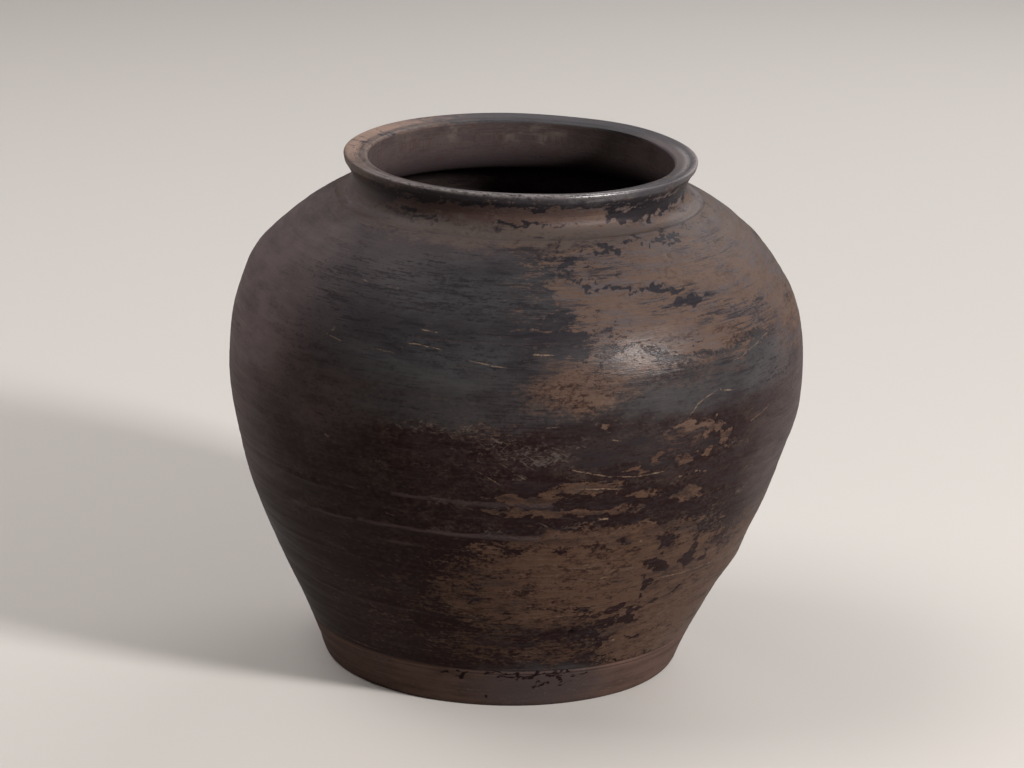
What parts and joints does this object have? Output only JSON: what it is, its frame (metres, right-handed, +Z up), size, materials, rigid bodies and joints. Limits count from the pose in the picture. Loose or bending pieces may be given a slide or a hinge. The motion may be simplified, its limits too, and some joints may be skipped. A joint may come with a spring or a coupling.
{
  "type": "clay pot",
  "caption": "Round-bellied burnished black clay pot with a narrow foot, a short coved neck and an out-turned lip round a wide open mouth.",
  "frame": {"origin": "centre of the foot, on the surface the pot stands on", "axes": "+Z up along the pot's round axis, -Y towards the side that the picture shows, +X to that side's right"},
  "size_m": [0.26, 0.26, 0.2335],
  "materials": {
    "burnished_clay": "stone-burnished, satin, worn to brown clay in patches",
    "worn_clay": "smoothed and rubbed, low satin",
    "bare_clay": "smoothed, unburnished, matt"
  },
  "bodies": {
    "root": {"base_slab": "bare_clay", "foot_wall": "bare_clay", "lower_wall": "burnished_clay", "middle_wall": "burnished_clay", "belly_wall": "burnished_clay", "shoulder_wall": "burnished_clay", "neck_collar": "worn_clay", "rim": "worn_clay"}
  },
  "joints": []
}
